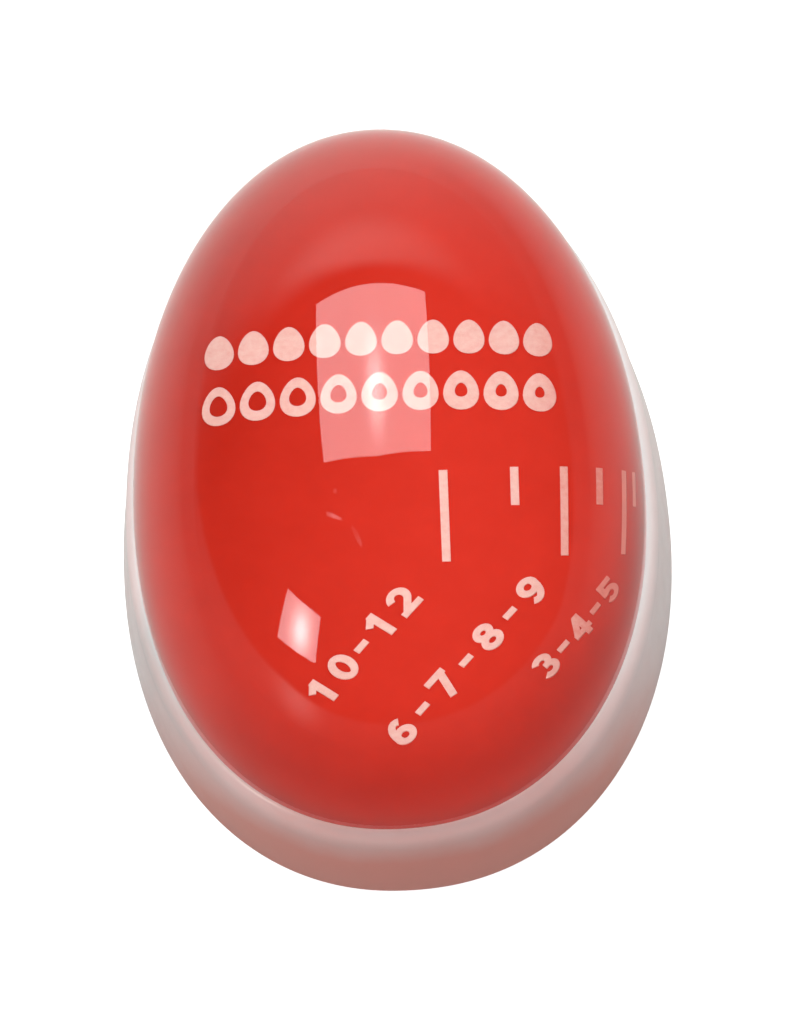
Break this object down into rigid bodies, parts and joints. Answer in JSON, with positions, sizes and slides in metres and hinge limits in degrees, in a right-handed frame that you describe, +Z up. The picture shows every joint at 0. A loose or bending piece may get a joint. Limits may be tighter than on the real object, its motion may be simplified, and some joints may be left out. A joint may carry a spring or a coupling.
{
  "type": "egg timer",
  "caption": "Colour-changing egg timer: a flat-bottomed resin egg with a clear dome over a printed red heat-sensitive layer, boiled in the pan beside eggs.",
  "frame": {"origin": "centre of the outline on the flat underside", "axes": "+Z up through the dome, +Y along the egg's length towards its narrow end, wide end at -Y"},
  "size_m": [0.038, 0.0538, 0.025],
  "materials": {
    "hazy_resin": "hazy, slightly pink cast resin, satin",
    "heat_sensitive_red": "opaque red pigmented resin layer",
    "clear_resin": "clear polished cast resin",
    "white_ink": "printed white ink"
  },
  "bodies": {
    "root": {"base_casting": "hazy_resin", "dome_lens": "clear_resin", "egg_mark_1": "white_ink", "egg_mark_10": "white_ink", "egg_mark_2": "white_ink", "egg_mark_3": "white_ink", "egg_mark_4": "white_ink", "egg_mark_5": "white_ink", "egg_mark_6": "white_ink", "egg_mark_7": "white_ink", "egg_mark_8": "white_ink", "egg_mark_9": "white_ink", "heat_sensitive_disc": "heat_sensitive_red", "numeral_inner_1": "white_ink", "numeral_inner_2": "white_ink", "numeral_inner_3": "white_ink", "numeral_inner_4": "white_ink", "numeral_inner_5": "white_ink", "numeral_middle_1": "white_ink", "numeral_middle_2": "white_ink", "numeral_middle_3": "white_ink", "numeral_middle_4": "white_ink", "numeral_middle_5": "white_ink", "numeral_middle_6": "white_ink", "numeral_middle_7": "white_ink", "numeral_outer_1": "white_ink", "numeral_outer_2": "white_ink", "numeral_outer_3": "white_ink", "numeral_outer_4": "white_ink", "numeral_outer_5": "white_ink", "tick_long_1": "white_ink", "tick_long_2": "white_ink", "tick_long_3": "white_ink", "tick_short_1": "white_ink", "tick_short_2": "white_ink", "tick_short_3": "white_ink", "yolk_mark_1": "white_ink", "yolk_mark_2": "white_ink", "yolk_mark_3": "white_ink", "yolk_mark_4": "white_ink", "yolk_mark_5": "white_ink", "yolk_mark_6": "white_ink", "yolk_mark_7": "white_ink", "yolk_mark_8": "white_ink", "yolk_mark_9": "white_ink"}
  },
  "joints": []
}
